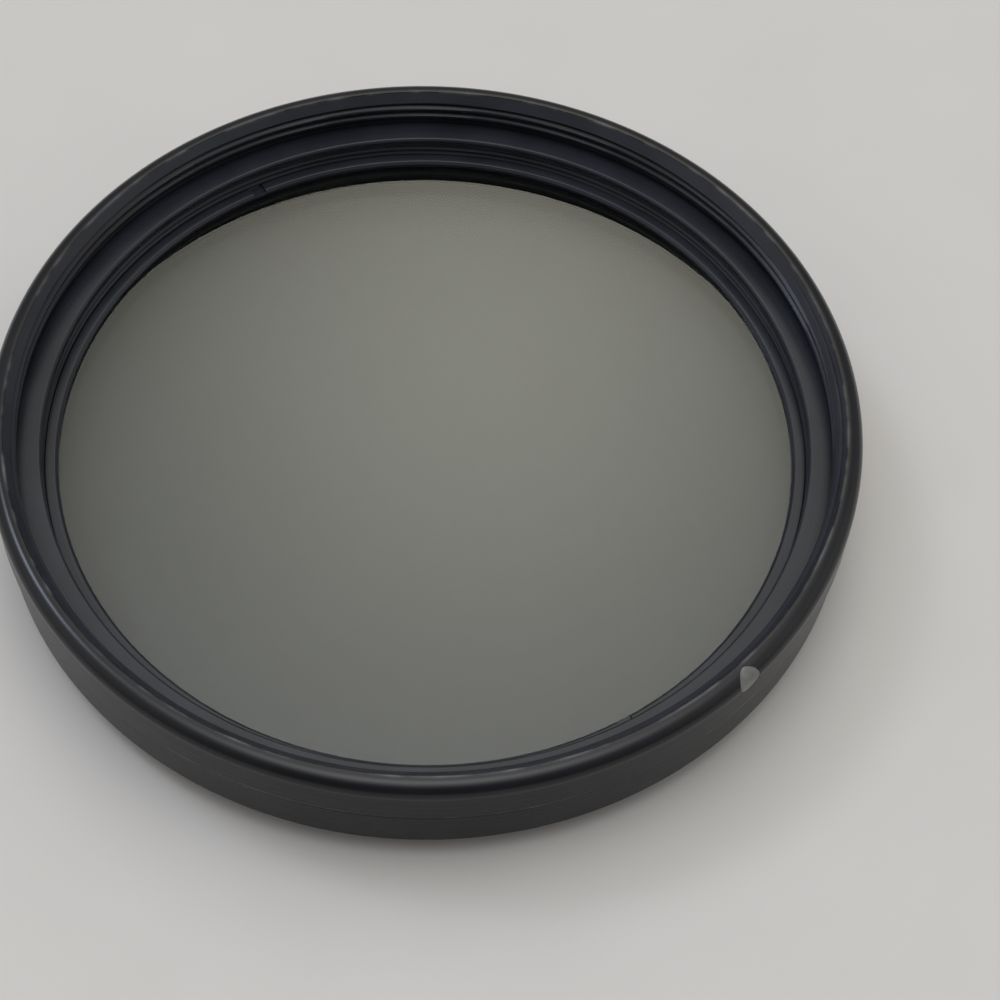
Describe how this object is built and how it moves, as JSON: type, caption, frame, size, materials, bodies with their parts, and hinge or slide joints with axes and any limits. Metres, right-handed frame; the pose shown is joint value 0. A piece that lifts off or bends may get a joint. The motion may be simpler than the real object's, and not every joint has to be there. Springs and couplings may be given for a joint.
{
  "type": "screw-in polarising lens filter",
  "caption": "Round screw-in circular polarising filter: laminated grey glass in a front ring that turns on a threaded mount ring, with a pale index mark on its rounded edge.",
  "frame": {"origin": "on the optical axis, in the plane of the mount ring's rear end, where the filter stands", "axes": "+Z along the optical axis from the lens towards the scene; +X and +Y across the filter, with the index mark 46.3 degrees from +X towards -Y"},
  "size_m": [0.061, 0.061, 0.0097],
  "materials": {
    "black_anodised": "satin black anodised",
    "spring_steel": "drawn spring wire",
    "index_enamel": "grey enamel fill",
    "clear_glass": "polished optical glass",
    "retarder_film": "clear cast film",
    "polarising_film": "neutral grey stretched film"
  },
  "bodies": {
    "mount": {"mount_ring": "black_anodised", "snap_wire": "spring_steel"},
    "rotating_front": {"front_ring": "black_anodised", "index_dot": "index_enamel", "rear_glass": "clear_glass", "quarter_wave_film": "retarder_film", "polarising_film": "polarising_film", "front_glass": "clear_glass", "retaining_ring": "black_anodised"}
  },
  "joints": [
    {"name": "front_turn", "type": "hinge", "parent": "mount", "child": "rotating_front", "pos_m": [0, 0, 0], "axis": [0, 0, 1], "continuous": true}
  ]
}
